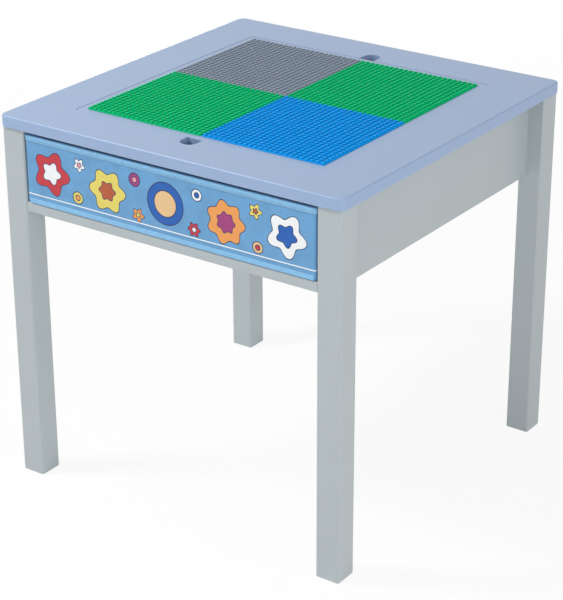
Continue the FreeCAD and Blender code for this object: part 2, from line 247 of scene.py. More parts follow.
def apply_modifier(context, piece, kind, **settings):
    """Adds one modifier with its settings and applies it."""
    context.view_layer.objects.active = piece
    modifier = piece.modifiers.new(kind.title(), kind)
    for name, value in settings.items():
        setattr(modifier, name, value)
    bpy.ops.object.modifier_apply(modifier=modifier.name)


def tidy_surface(smooth_angle):
    """Turns all faces of the piece in edit mode outwards, leaves edit mode and smooths flat angles."""
    bpy.ops.mesh.select_all(action="SELECT")
    bpy.ops.mesh.normals_make_consistent(inside=False)
    bpy.ops.object.mode_set(mode="OBJECT")
    bpy.ops.object.shade_smooth_by_angle(angle=smooth_angle)


def copy_piece(context, piece, name, offset):
    """Copies a piece with a mesh of its own and moves the copy's mesh."""
    start_piece()
    piece.select_set(True)
    context.view_layer.objects.active = piece
    bpy.ops.object.duplicate(linked=False)
    return place_piece(context, name, (1, 1, 1), offset)


def give_finish(piece, material):
    """Makes a material the piece's only one."""
    piece.data.materials.clear()
    piece.data.materials.append(material)


# Material helpers


def add(tree, kind, inputs, **settings):
    """Adds one shader node: settings are its own, inputs are set to a value or linked to a socket."""
    node = tree.nodes.new("ShaderNode" + kind)
    for name, value in settings.items():
        setattr(node, name, value)
    for name, value in inputs.items():
        if isinstance(value, bpy.types.NodeSocket):
            tree.links.new(value, node.inputs[name])
        else:
            node.inputs[name].default_value = value
    return node


def new_finish(name):
    """A new material, its node tree, its shader and its Object coordinates."""
    material = bpy.data.materials.new(name)
    material.use_nodes = True
    tree = material.node_tree
    return material, tree, tree.nodes["Principled BSDF"], add(tree, "TexCoord", {}).outputs["Object"]


def per(millimetres):
    """The texture scale at which one feature is this long."""
    return 1 / (millimetres * MM)


# Painted boards

PAINT_CLOUD_MM = 70.0
PAINT_SHADE = (0.96, 1.03)
PAINT_ROUGHNESS = (0.3, 0.38)
PAINT_IOR = 1.5
PAINT_PEEL_MM = 1.6
PAINT_PEEL_HEIGHT_MM = 0.02
PAINT_PEEL_STRENGTH = 0.5
GRAIN_WIDTH_MM = 2.5
GRAIN_LENGTH_MM = 90.0
GRAIN_DEPTH_MM = 0.06
GRAIN_STRENGTH = 0.35


def satin_enamel(name, colour, grain_axis=None):
    """Satin enamel sprayed on a board: faint clouds, orange peel and, on wood, the grain beneath it."""
    material, tree, shader, place = new_finish(name)
    noise = add(tree, "TexNoise", {"Vector": place, "Scale": per(PAINT_CLOUD_MM), "Detail": 3.0})
    cloud = noise.outputs["Fac"]
    shade = add(tree, "MapRange", {"Value": cloud, "To Min": PAINT_SHADE[0], "To Max": PAINT_SHADE[1]})
    tone = add(
        tree,
        "MixRGB",
        {"Fac": 1.0, "Color1": opaque(colour), "Color2": shade.outputs["Result"]},
        blend_type="MULTIPLY",
    )
    tree.links.new(tone.outputs["Color"], shader.inputs["Base Color"])
    gloss = add(
        tree,
        "MapRange",
        {"Value": cloud, "To Min": PAINT_ROUGHNESS[0], "To Max": PAINT_ROUGHNESS[1]},
    )
    tree.links.new(gloss.outputs["Result"], shader.inputs["Roughness"])
    peel = add(tree, "TexNoise", {"Vector": place, "Scale": per(PAINT_PEEL_MM), "Detail": 1.0})
    bump = add(
        tree,
        "Bump",
        {
            "Strength": PAINT_PEEL_STRENGTH,
            "Distance": PAINT_PEEL_HEIGHT_MM * MM,
            "Height": peel.outputs["Fac"],
        },
    )
    if grain_axis is not None:
        bump = wood_grain(tree, place, grain_axis, bump)
    tree.links.new(bump.outputs["Normal"], shader.inputs["Normal"])
    shader.inputs["IOR"].default_value = PAINT_IOR
    return material


def wood_grain(tree, place, grain_axis, finer_bump):
    """Long pores of the wood, drawn along one axis, that show faintly through the paint."""
    stretch = [per(GRAIN_WIDTH_MM)] * 3
    stretch[grain_axis] = per(GRAIN_LENGTH_MM)
    along = add(tree, "Mapping", {"Vector": place, "Scale": stretch})
    pores = add(tree, "TexNoise", {"Vector": along.outputs["Vector"], "Scale": 1.0, "Detail": 3.0})
    return add(
        tree,
        "Bump",
        {
            "Strength": GRAIN_STRENGTH,
            "Distance": GRAIN_DEPTH_MM * MM,
            "Height": pores.outputs["Fac"],
            "Normal": finer_bump.outputs["Normal"],
        },
    )


class PLAYTABLE_OT_painted_boards(Operator):
    """Paints the top, the panel, the legs, the aprons and the shelf."""

    bl_idname = "playtable.painted_boards"
    bl_label = "Painted boards"

    def execute(self, context):
        paint = context.scene.play_table.paint
        groups = (
            (TOP_BOARDS, satin_enamel("pale_blue_enamel", paint.top)),
            (LEGS, satin_enamel("grey_enamel_upright_grain", paint.frame, 2)),
            (SIDE_BOARDS, satin_enamel("grey_enamel_lengthwise_grain", paint.frame, 1)),
            (CROSS_BOARDS, satin_enamel("grey_enamel_crosswise_grain", paint.frame, 0)),
        )
        for nodes, material in groups:
            for node in nodes:
                give_finish(frame["nodes"][node], material)
        return {"FINISHED"}


# Stud plates

STUD_SIDES = 16
CELL_CUTS = STUD_SIDES // 4 - 1
PLASTIC_FLOW_MM = 25.0
PLASTIC_SHADE = (0.94, 1.05)
PLASTIC_ROUGHNESS = (0.24, 0.34)
PLASTIC_IOR = 1.54

# Coarser than the grain of a real mould, so that it shows
PLASTIC_GRAIN_MM = 0.8
PLASTIC_GRAIN_HEIGHT_MM = 0.01
PLASTIC_GRAIN_STRENGTH = 0.4

# Far below the gloss of real ABS, so that white surroundings don't wash out its colours
PLASTIC_SPECULAR = 0.015

# Painted shade and painted highlight: the colour's share deep in a groove, darkened as if shaded there, and
# on an open stud, brightened as if lit, which sets the studs off from one another
PAINTED_GROOVE_SHADE_AND_STUD_LIGHT = (0.28, 1.27)
PAINTED_SHADE_REACH_MM = 4.0
PAINTED_SHADE_SAMPLES = 8


def moulded_abs(name, colour):
    """Injection moulded ABS with painted shade and highlight: the colour is brightened on the open studs
    and darkened in the grooves by ambient occlusion, with the mould's grain.
    """
    material, tree, shader, place = new_finish(name)
    flow = add(tree, "TexNoise", {"Vector": place, "Scale": per(PLASTIC_FLOW_MM), "Detail": 2.0})
    # Painted shade and painted highlight: ambient occlusion darkens the colour in the grooves between the
    # studs and brightens it on their open tops
    painted_shade_occlusion = add(tree, "AmbientOcclusion", {"Distance": PAINTED_SHADE_REACH_MM * MM}, samples=PAINTED_SHADE_SAMPLES)
    cloud, painted_shade_and_light, gloss = (
        add(tree, "MapRange", {"Value": value, "To Min": least, "To Max": most}).outputs["Result"]
        for value, (least, most) in (
            (flow.outputs["Fac"], PLASTIC_SHADE),
            (painted_shade_occlusion.outputs["AO"], PAINTED_GROOVE_SHADE_AND_STUD_LIGHT),
            (flow.outputs["Fac"], PLASTIC_ROUGHNESS),
        )
    )
    # The plastic's random flow tone times the painted groove shade and stud highlight
    shade = add(tree, "Math", {0: cloud, 1: painted_shade_and_light}, operation="MULTIPLY")
    tone = add(
        tree,
        "MixRGB",
        {"Fac": 1.0, "Color1": opaque(colour), "Color2": shade.outputs["Value"]},
        blend_type="MULTIPLY",
    )
    tree.links.new(tone.outputs["Color"], shader.inputs["Base Color"])
    tree.links.new(gloss, shader.inputs["Roughness"])
    grain = add(tree, "TexNoise", {"Vector": place, "Scale": per(PLASTIC_GRAIN_MM), "Detail": 1.0})
    bump = add(
        tree,
        "Bump",
        {
            "Strength": PLASTIC_GRAIN_STRENGTH,
            "Distance": PLASTIC_GRAIN_HEIGHT_MM * MM,
            "Height": grain.outputs["Fac"],
        },
    )
    tree.links.new(bump.outputs["Normal"], shader.inputs["Normal"])
    shader.inputs["IOR"].default_value = PLASTIC_IOR
    shader.inputs["Specular IOR Level"].default_value = PLASTIC_SPECULAR
    return material


def stud_cell(context, studs, centre):
    """Models one stud in the middle of its square cell of the plate."""
    start_piece()
    bpy.ops.mesh.primitive_circle_add(vertices=STUD_SIDES, radius=studs.radius, fill_type="NOTHING")
    piece = place_piece(context, "stud_plate", (1, 1, 1), centre)
    bpy.ops.object.mode_set(mode="EDIT")
    bpy.ops.mesh.select_mode(type="EDGE")
    bpy.ops.mesh.select_all(action="SELECT")
    extrude((0, 0, studs.height))
    bpy.ops.mesh.edge_face_add()
    choose_edges(piece, at_height(centre.z + studs.height))
    bpy.ops.mesh.bevel(offset=studs.edge, segments=SMALL_ROUNDING_STEPS, affect="EDGES")
    bpy.ops.mesh.select_all(action="DESELECT")
    bpy.ops.mesh.primitive_plane_add(size=studs.pitch, location=centre)
    bpy.ops.mesh.delete(type="ONLY_FACE")
    choose_edges(piece, lambda edge: edge.calc_length() > studs.pitch - NEAR)
    bpy.ops.mesh.subdivide(number_cuts=CELL_CUTS)
    choose_edges(piece, at_height(centre.z))
    bpy.ops.mesh.bridge_edge_loops()
    bpy.ops.object.mode_set(mode="OBJECT")
    return piece


def repeat_cell(context, piece, count, offset):
    """Repeats a cell along one axis and welds its edges."""
    apply_modifier(
        context,
        piece,
        "ARRAY",
        count=count,
        use_relative_offset=False,
        use_constant_offset=True,
        constant_offset_displace=offset,
        use_merge_vertices=True,
        merge_threshold=NEAR,
    )


def fit_outline(piece, low, high, corner):
    """Draws the outline in edit mode into the plate's box and rounds its corners."""
    mesh = bmesh.from_edit_mesh(piece.data)
    for vertex in mesh.verts:
        if vertex.is_boundary:
            hub = vertex.co.copy()
            for axis in (0, 1):
                vertex.co[axis] = held(vertex.co[axis], low[axis], high[axis])
                hub[axis] = held(vertex.co[axis], low[axis] + corner, high[axis] - corner)
            spoke = vertex.co - hub
            if spoke.length > corner:
                vertex.co = hub + spoke.normalized() * corner
    bmesh.update_edit_mesh(piece.data)


def stud_plate(context, studs, node):
    """Models one plate: a grid of stud cells, a rounded outline and a flat underside."""
    low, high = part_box(node)
    plate_top = high.z - studs.height
    count = round((high.x - low.x) / studs.pitch)
    margin = ((high.x - low.x) - count * studs.pitch) / 2
    first = Vector((low.x + margin + studs.pitch / 2, low.y + margin + studs.pitch / 2, plate_top))
    piece = stud_cell(context, studs, first)
    repeat_cell(context, piece, count, (studs.pitch, 0, 0))
    repeat_cell(context, piece, count, (0, studs.pitch, 0))
    bpy.ops.object.mode_set(mode="EDIT")
    fit_outline(piece, low, high, studs.corner)
    choose_edges(piece, lambda edge: edge.is_boundary)
    extrude((0, 0, low.z - plate_top))
    bpy.ops.mesh.edge_face_add()
    bpy.ops.mesh.select_all(action="SELECT")
    bpy.ops.mesh.normals_make_consistent(inside=False)
    upper = at_height(plate_top)
    choose_edges(piece, lambda edge: upper(edge) and is_sharp(edge) and on_outline(edge, low, high, studs))
    bpy.ops.mesh.bevel(offset=studs.rim, segments=ROUNDING_STEPS, affect="EDGES")
    tidy_surface(SMOOTH_ANGLE)
    return piece


def on_outline(edge, low, high, studs):
    """Whether an edge lies within a stud's margin of the plate's outline."""
    middle = (edge.verts[0].co + edge.verts[1].co) / 2
    inset = min(middle.x - low.x, high.x - middle.x, middle.y - low.y, high.y - middle.y)
    return inset < studs.pitch / 2 - studs.radius


class PLAYTABLE_OT_stud_plates(Operator):
    """Models one stud plate and copies it to the four quarters of the panel."""

    bl_idname = "playtable.stud_plates"
    bl_label = "Stud plates"

    def execute(self, context):
        studs = context.scene.play_table.studs
        finishes = {
            "green_plate": moulded_abs("green_abs", studs.green),
            "blue_plate": moulded_abs("blue_abs", studs.blue),
            "grey_plate": moulded_abs("grey_abs", studs.grey),
        }
        slots = {
            "stud_plate_front_left": "green_plate",
            "stud_plate_front_right": "blue_plate",
            "stud_plate_back_left": "grey_plate",
            "stud_plate_back_right": "green_plate",
        }
        first_node = "stud_plate_front_left"
        model = stud_plate(context, studs, first_node)
        for node, slot in slots.items():
            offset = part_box(node)[0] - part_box(first_node)[0]
            plate = copy_piece(context, model, "moulded_" + node, offset)
            give_finish(plate, finishes[slot])
            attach(plate, "lift_panel")
            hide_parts(node)
        bpy.data.objects.remove(model)
        return {"FINISHED"}


# Cloth of the toy bin

CLOTH_THICKNESS_MM = 0.8
CORNER_STEPS = 5
FLOOR_EDGE_SHARE = 0.8
PRINT_CLOUD_MM = 24.0
PRINT_CLOUD = (0.76, 1.24)
DYE_CLOUD_MM = 9.0
DYE_CLOUD = (0.86, 1.12)
WEAVE_HEIGHT_MM = 0.12
WEAVE_STRENGTH = 0.6
CLOTH_ROUGHNESS = 0.8
CLOTH_SHEEN = 0.15
CLOTH_IOR = 1.45
TAPE_THICKNESS_MM = 0.6
TAPE_FOLD_MM = 0.7
TAPE_RIB_MM = 1.0
TRIM_EDGE_SHARE = 0.6
STITCH_SIDES = 6
STITCH_END_SHARE = 0.7
SEAM_INSET_MM = 1.5
NON_WOVEN_DOT_MM = 2.2
STRIPE_RISE_MM = 14.0
STRIPE_WIDTH_MM = 1.6
PRINT_DEPTH_MM = 3.0
OUTLINE_WIDTH_MM = 1.3
FRONT_PLANE = (1, 0, 1)

# Ripples of the slack front, one a row: its share of the slack, then how far, in radians, its wave
# runs across the front and up it
RIPPLES = ((0.28, 23, 3), (0.16, 57, -5))
CROWN_POWER = 0.5

INK = {
    "navy": "#1B2A5C",
    "white": "#F4F6F8",
    "red": "#C8343F",
    "yellow": "#E8D768",
    "orange": "#F0A055",
    "rust": "#B85A32",
    "royal": "#1C5FB4",
    "tan": "#EBC590",
    "magenta": "#A33C7C",
    "pink": "#E89AA6",
}

# One printed shape a row: its place as shares of the front's width and height, its radius in
# millimetres, its lobes, the depth of the lobes, its turn, its two inks and the heart's share
MOTIF_SHARES = (
    (0.095, 0.53, 27.0, 5, 0.18, 0.3, "red", "white", 0.52),
    (0.190, 0.27, 8.5, 0, 0.0, 0.0, "yellow", "orange", 0.45),
    (0.200, 0.76, 8.0, 5, 0.25, 1.2, "white", "pink", 0.4),
    (0.300, 0.49, 27.0, 6, 0.14, 0.0, "yellow", "rust", 0.45),
    (0.398, 0.76, 9.0, 0, 0.0, 0.0, "magenta", "pink", 0.45),
    (0.408, 0.26, 8.0, 5, 0.25, 0.6, "orange", "yellow", 0.4),
    (0.505, 0.53, 29.0, 0, 0.0, 0.0, "royal", "tan", 0.62),
    (0.603, 0.27, 8.5, 6, 0.18, 0.0, "red", "white", 0.4),
    (0.613, 0.77, 8.0, 0, 0.0, 0.0, "white", "royal", 0.45),
    (0.710, 0.49, 27.5, 7, 0.11, 0.0, "orange", "magenta", 0.48),
    (0.808, 0.76, 8.5, 5, 0.25, 0.2, "yellow", "rust", 0.4),
    (0.815, 0.26, 8.0, 0, 0.0, 0.0, "tan", "red", 0.45),
    (0.908, 0.53, 26.0, 5, 0.18, 0.9, "white", "royal", 0.52),
)


def front_slack(point, low, high, slack):
    """How far the front cloth stands out at a point: none at its seams, most in its middle."""
    across = (point.x - low.x) / (high.x - low.x)
    up = (point.z - low.z) / (high.z - low.z)
    crown = max(0.0, math.sin(math.pi * up)) * max(0.0, math.sin(math.pi * across)) ** CROWN_POWER
    ripple = 1 + sum(share * math.sin(run * across + rise * up) for share, run, rise in RIPPLES)
    return slack * crown * ripple


def cloth_tray(context, name, low, high, corner, cloth):
    """Models an open tray of cloth: walls drawn down from the rim in even steps, then the floor."""
    piece = rounded_loop(context, name, low, high, high.z, corner, cloth.spacing)
    steps = round((high.z - low.z) / cloth.spacing)
    choose_edges(piece, at_height(high.z))
    for _ in range(steps):
        extrude((0, 0, (low.z - high.z) / steps))
    bpy.ops.mesh.edge_face_add()
    choose_edges(piece, at_height(low.z))
    bpy.ops.mesh.bevel(offset=corner * FLOOR_EDGE_SHARE, segments=ROUNDING_STEPS, affect="EDGES")
    tidy_surface(CLOTH_SMOOTH_ANGLE)
    # The floor, the only face with more than four corners, is shaded flat
    for face in piece.data.polygons:
        face.use_smooth = len(face.vertices) == 4
    return piece


def rounded_loop(context, name, low, high, height, corner, spacing):
    """Starts a piece, in edit mode, as a loop of edges: corners rounded, long sides divided evenly."""
    start_piece()
    bpy.ops.mesh.primitive_plane_add(size=1)
    middle = (low + high) / 2
    size = (high.x - low.x, high.y - low.y, 1)
    piece = place_piece(context, name, size, (middle.x, middle.y, height))
    bpy.ops.object.mode_set(mode="EDIT")
    bpy.ops.mesh.select_all(action="SELECT")
    bpy.ops.mesh.bevel(offset=corner, segments=CORNER_STEPS, affect="VERTICES")
    bpy.ops.mesh.select_all(action="SELECT")
    bpy.ops.mesh.delete(type="ONLY_FACE")
    for axis in (0, 1):
        choose_edges(piece, lambda edge: abs(edge.verts[0].co[axis] - edge.verts[1].co[axis]) > 2 * spacing)
        side = max(edge.calc_length() for edge in bmesh.from_edit_mesh(piece.data).edges if edge.select)
        bpy.ops.mesh.subdivide(number_cuts=round(side / spacing) - 1)
    return piece


def polar_motif():
    """A node group that prints one shape over a ground: a lobed outline, a fill and a smaller heart."""
    tree = bpy.data.node_groups.new("polar_motif", "ShaderNodeTree")
    for name, kind in (
        ("Ground", "Color"),
        ("Place", "Vector"),
        ("Centre", "Vector"),
        ("Radius", "Float"),
        ("Lobes", "Float"),
        ("Depth", "Float"),
        ("Turn", "Float"),
        ("Fill", "Color"),
        ("Heart", "Color"),
        ("Heart Share", "Float"),
        ("Line", "Color"),
        ("Line Width", "Float"),
    ):
        tree.interface.new_socket(name, in_out="INPUT", socket_type="NodeSocket" + kind)
    tree.interface.new_socket("Color", in_out="OUTPUT", socket_type="NodeSocketColor")
    given = tree.nodes.new("NodeGroupInput").outputs
    offset = add(tree, "VectorMath", {0: given["Place"], 1: given["Centre"]}, operation="SUBTRACT")
    flat = add(tree, "VectorMath", {0: offset.outputs[0], 1: FRONT_PLANE}, operation="MULTIPLY")
    axes = add(tree, "SeparateXYZ", {"Vector": flat.outputs[0]}).outputs
    reach = add(tree, "VectorMath", {0: flat.outputs[0]}, operation="LENGTH").outputs["Value"]
    angle = add(tree, "Math", {0: axes["Z"], 1: axes["X"]}, operation="ARCTAN2")
    phase = add(
        tree,
        "Math",
        {0: angle.outputs[0], 1: given["Lobes"], 2: given["Turn"]},
        operation="MULTIPLY_ADD",
    )
    wave = add(tree, "Math", {0: phase.outputs[0]}, operation="COSINE")
    swell = add(tree, "Math", {0: wave.outputs[0], 1: given["Depth"], 2: 1.0}, operation="MULTIPLY_ADD")
    edge = add(tree, "Math", {0: swell.outputs[0], 1: given["Radius"]}, operation="MULTIPLY").outputs[0]
    heart_edge = add(tree, "Math", {0: edge, 1: given["Heart Share"]}, operation="MULTIPLY").outputs[0]
    colour = given["Ground"]
    for rim, ink in ((edge, given["Fill"]), (heart_edge, given["Heart"])):
        inside = add(tree, "Math", {0: reach, 1: rim}, operation="LESS_THAN")
        drawn = add(tree, "Math", {0: reach, 1: rim, 2: given["Line Width"]}, operation="COMPARE")
        for share, paint in ((inside, ink), (drawn, given["Line"])):
            layer = add(tree, "MixRGB", {"Fac": share.outputs[0], "Color1": colour, "Color2": paint})
            colour = layer.outputs["Color"]
    tree.links.new(colour, tree.nodes.new("NodeGroupOutput").inputs["Color"])
    return tree


def printed_front(tree, place, ground, low, high):
    """The print on the front: lobed shapes in several inks above one plain white stripe."""
    axes = add(tree, "SeparateXYZ", {"Vector": place}).outputs
    stripe = add(
        tree,
        "Math",
        {0: axes["Z"], 1: low.z + STRIPE_RISE_MM * MM, 2: STRIPE_WIDTH_MM * MM / 2},
        operation="COMPARE",
    )
    printed = add(
        tree,
        "MixRGB",
        {"Fac": stripe.outputs[0], "Color1": ground, "Color2": opaque(linear(INK["white"]))},
    ).outputs[0]
    shape = polar_motif()
    for across, up, radius, lobes, depth, turn, fill, heart, heart_share in MOTIF_SHARES:
        motif = add(tree, "Group", {}, node_tree=shape)
        tree.links.new(printed, motif.inputs["Ground"])
        tree.links.new(place, motif.inputs["Place"])
        values = {
            "Centre": (low.x + across * (high.x - low.x), 0, low.z + up * (high.z - low.z)),
            "Radius": radius * MM,
            "Lobes": lobes,
            "Depth": depth,
            "Turn": turn,
            "Fill": opaque(linear(INK[fill])),
            "Heart": opaque(linear(INK[heart])),
            "Heart Share": heart_share,
            "Line": opaque(linear(INK["navy"])),
            "Line Width": OUTLINE_WIDTH_MM * MM / 2,
        }
        for name, value in values.items():
            motif.inputs[name].default_value = value
        printed = motif.outputs["Color"]
    is_front = add(tree, "Math", {0: axes["Y"], 1: low.y + PRINT_DEPTH_MM * MM}, operation="LESS_THAN")
    cover = add(tree, "MixRGB", {"Fac": is_front.outputs[0], "Color1": ground, "Color2": printed})
    return cover.outputs["Color"]


def woven_bump(tree, place, spacing, height):
    """Crossed threads as a bump: waves along all three axes, of which two lie in any one wall."""
    scaled = add(tree, "VectorMath", {0: place, "Scale": math.tau / spacing}, operation="SCALE")
    axes = add(tree, "SeparateXYZ", {"Vector": scaled.outputs[0]}).outputs
    total = 0.0
    for axis in ("X", "Y", "Z"):
        thread = add(tree, "Math", {0: axes[axis]}, operation="SINE")
        total = add(tree, "Math", {0: thread.outputs[0], 1: total}, operation="ADD").outputs[0]
    return add(tree, "Bump", {"Strength": WEAVE_STRENGTH, "Distance": height, "Height": total})


def mottled(tree, place, colour, size_mm, shares):
    """A colour that is a little uneven, as dyed cloth is: patches between two shares of it."""
    patches = add(
        tree,
        "TexNoise",
        {"Vector": place, "Scale": per(size_mm), "Detail": 4.0, "Roughness": 0.6},
    )
    shade = add(
        tree,
        "MapRange",
        {"Value": patches.outputs["Fac"], "To Min": shares[0], "To Max": shares[1]},
    )
    tone = add(
        tree,
        "MixRGB",
        {"Fac": 1.0, "Color1": colour, "Color2": shade.outputs["Result"]},
        blend_type="MULTIPLY",
    )
    return tone.outputs["Color"]


def weave_cloth(tree, shader, place, colour, weave):
    """Gives a shader what all the bin's cloth shares: its colour, crossed threads and a soft sheen."""
    tree.links.new(colour, shader.inputs["Base Color"])
    bump = woven_bump(tree, place, weave, WEAVE_HEIGHT_MM * MM)
    tree.links.new(bump.outputs["Normal"], shader.inputs["Normal"])
    shader.inputs["Roughness"].default_value = CLOTH_ROUGHNESS
    shader.inputs["Sheen Weight"].default_value = CLOTH_SHEEN
    shader.inputs["IOR"].default_value = CLOTH_IOR


def printed_polyester(cloth, low, high):
    """Plain-woven polyester with a printed front: a ground cloudy like a wash of paint, and flat inks."""
    material, tree, shader, place = new_finish("printed_polyester")
    ground = mottled(tree, place, opaque(cloth.cover), PRINT_CLOUD_MM, PRINT_CLOUD)
    printed = printed_front(tree, place, ground, low, high)
    weave_cloth(tree, shader, place, printed, cloth.weave)
    return material


def plain_cloth(name, colour, weave):
    """Cloth of one colour, with small patches where the dye took unevenly."""
    material, tree, shader, place = new_finish(name)
    dyed = mottled(tree, place, opaque(colour), DYE_CLOUD_MM, DYE_CLOUD)
    weave_cloth(tree, shader, place, dyed, weave)
    return material


class PLAYTABLE_OT_bin_cover(Operator):
    bl_idname = "playtable.bin_cover"
    bl_label = "Bin cover"

    def execute(self, context):
        cloth = context.scene.play_table.cloth
        low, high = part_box("bin_cover")
        corner = corner_radius("bin_cover")
        cover = cloth_tray(context, "bin_cover_cloth", low, high, corner, cloth)
        for vertex in cover.data.vertices:
            if vertex.co.y < low.y + NEAR:
                vertex.co.y -= front_slack(vertex.co, low, high, cloth.slack)
        apply_modifier(context, cover, "SOLIDIFY", thickness=CLOTH_THICKNESS_MM * MM, offset=-1)
        give_finish(cover, printed_polyester(cloth, low, high))
        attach(cover, "toy_bin")
        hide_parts("bin_cover")
        return {"FINISHED"}


def corner_radius(node):
    """The radius of a tray's upright corners, from where its straight front ends."""
    low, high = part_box(node)
    vertices = frame["nodes"][node].data.vertices
    return high.x - max(vertex.co.x for vertex in vertices if vertex.co.y < low.y + NEAR)


class PLAYTABLE_OT_bin_lining(Operator):
    """Models the inner cloth of the toy bin."""

    bl_idname = "playtable.bin_lining"
    bl_label = "Bin lining"

    def execute(self, context):
        cloth = context.scene.play_table.cloth
        low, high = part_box("bin_lining")
        lining = cloth_tray(context, "bin_lining_cloth", low, high, corner_radius("bin_lining"), cloth)
        apply_modifier(context, lining, "SOLIDIFY", thickness=CLOTH_THICKNESS_MM * MM, offset=-1)
        give_finish(lining, plain_cloth("non_woven_lining", cloth.lining, NON_WOVEN_DOT_MM * MM))
        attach(lining, "toy_bin")
        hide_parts("bin_lining")
        return {"FINISHED"}


def draw_in(piece, low, high, corner, inset, inner_corner):
    """Moves the selected rounded loop inwards in edit mode, to an outline with corners of its own."""
    reach = inset + inner_corner
    mesh = bmesh.from_edit_mesh(piece.data)
    for vertex in mesh.verts:
        if vertex.select:
            hub = vertex.co.copy()
            inner_hub = vertex.co.copy()
            for axis in (0, 1):
                hub[axis] = held(vertex.co[axis], low[axis] + corner, high[axis] - corner)
                inner_hub[axis] = held(hub[axis], low[axis] + reach, high[axis] - reach)
            vertex.co = inner_hub + (vertex.co - hub).normalized() * inner_corner
    bmesh.update_edit_mesh(piece.data)


def binding_tape(context, cloth):
    """Models the tape folded over the rim: an outer wall, a rounded fold and an inner wall."""
    low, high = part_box("bin_top_binding")
    corner = corner_radius("bin_top_binding")
    piece = rounded_loop(context, "bin_binding_tape", low, high, low.z, corner, cloth.spacing)
    bpy.ops.mesh.select_all(action="SELECT")
    extrude((0, 0, high.z - low.z))
    extrude((0, 0, 0))
    draw_in(piece, low, high, corner, binding_width(), corner_radius("bin_lining"))
    extrude((0, 0, low.z - high.z))
    bpy.ops.mesh.select_all(action="SELECT")
    bpy.ops.mesh.normals_make_consistent(inside=False)
    upper = at_height(high.z)
    choose_edges(piece, lambda edge: upper(edge) and is_sharp(edge))
    bpy.ops.mesh.bevel(offset=TAPE_FOLD_MM * MM, segments=ROUNDING_STEPS, affect="EDGES")
    tidy_surface(CLOTH_SMOOTH_ANGLE)
    apply_modifier(context, piece, "SOLIDIFY", thickness=TAPE_THICKNESS_MM * MM, offset=-1)
    return piece


def binding_width():
    """From the binding's outer wall to its inner one: cover, board and lining between two tapes."""
    outer_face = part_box("bin_top_binding")[1].x
    tape = outer_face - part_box("bin_cover")[1].x
    return outer_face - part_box("bin_lining")[1].x + CLOTH_THICKNESS_MM * MM + tape


def trim_tape(context):
    """Models the flat tape along the bottom of the front, with soft edges."""
    low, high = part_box("bin_front_trim")
    start_piece()
    bpy.ops.mesh.primitive_cube_add(size=1)
    piece = place_piece(context, "bin_trim_tape", high - low, (low + high) / 2)
    bpy.ops.object.mode_set(mode="EDIT")
    choose_edges(piece, lambda edge: all(vertex.co.y < low.y + NEAR for vertex in edge.verts))
    rounding = (high.y - low.y) * TRIM_EDGE_SHARE
    bpy.ops.mesh.bevel(offset=rounding, segments=ROUNDING_STEPS, affect="EDGES")
    tidy_surface(CLOTH_SMOOTH_ANGLE)
    return piece


class PLAYTABLE_OT_bin_tapes(Operator):
    """Models the binding on the bin's rim and the trim along its front."""

    bl_idname = "playtable.bin_tapes"
    bl_label = "Bin tapes"

    def execute(self, context):
        cloth = context.scene.play_table.cloth
        finish = plain_cloth("woven_tape", cloth.tape, TAPE_RIB_MM * MM)
        tapes = (
            (binding_tape(context, cloth), "bin_top_binding"),
            (trim_tape(context), "bin_front_trim"),
        )
        for tape, node in tapes:
            give_finish(tape, finish)
            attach(tape, "toy_bin")
            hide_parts(node)
        return {"FINISHED"}


def stitch_row(context, cloth, start, end):
    """Models one stitch, a short thread with rounded ends, and repeats it along a straight seam."""
    run = end - start
    count = int(run.length / cloth.stitch_pitch)
    start_piece()
    bpy.ops.mesh.primitive_cylinder_add(
        vertices=STITCH_SIDES,
        radius=cloth.stitch_radius,
        depth=cloth.stitch_length,
        rotation=(0, math.pi / 2, 0),
    )
    piece = place_piece(context, "stitch_row", (1, 1, 1), (0, 0, 0))
    bpy.ops.object.mode_set(mode="EDIT")
    half = cloth.stitch_length / 2
    choose_edges(piece, lambda edge: abs(abs(edge.verts[0].co.x + edge.verts[1].co.x) / 2 - half) < NEAR)
    rounding = cloth.stitch_radius * STITCH_END_SHARE
    bpy.ops.mesh.bevel(offset=rounding, segments=SMALL_ROUNDING_STEPS, affect="EDGES")
    tidy_surface(CLOTH_SMOOTH_ANGLE)
    repeat_cell(context, piece, count, (cloth.stitch_pitch, 0, 0))
    lead = (run.length - (count - 1) * cloth.stitch_pitch) / 2
    turn = Matrix.Rotation(math.atan2(run.y, run.x), 4, "Z")
    piece.data.transform(Matrix.Translation(start) @ turn @ Matrix.Translation((lead, 0, 0)))
    return piece


def seam_ends():
    """Both ends of each seam: along the binding's lower edge, and along both edges of the trim."""
    low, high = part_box("bin_top_binding")
    corner = corner_radius("bin_top_binding")
    inset = SEAM_INSET_MM * MM
    seam = low.z + inset
    ends = [((low.x + corner, y, seam), (high.x - corner, y, seam)) for y in (low.y, high.y)]
    ends += [((x, low.y + corner, seam), (x, high.y - corner, seam)) for x in (low.x, high.x)]
    low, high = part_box("bin_front_trim")
    ends += [((low.x, low.y, z), (high.x, low.y, z)) for z in (low.z + inset, high.z - inset)]
    return ends


class PLAYTABLE_OT_bin_stitches(Operator):
    """Models the seams that hold the tapes to the bin's cloth."""

    bl_idname = "playtable.bin_stitches"
    bl_label = "Bin stitches"

    def execute(self, context):
        cloth = context.scene.play_table.cloth
        rows = [stitch_row(context, cloth, Vector(start), Vector(end)) for start, end in seam_ends()]
        start_piece()
        for row in rows:
            row.select_set(True)
        context.view_layer.objects.active = rows[0]
        bpy.ops.object.join()
        seams = context.object
        seams.name = "bin_stitches"
        give_finish(seams, plain_cloth("sewing_thread", cloth.thread, cloth.stitch_radius * 2))
        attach(seams, "toy_bin")
        return {"FINISHED"}


# Hidden boards, dowels and metal fittings

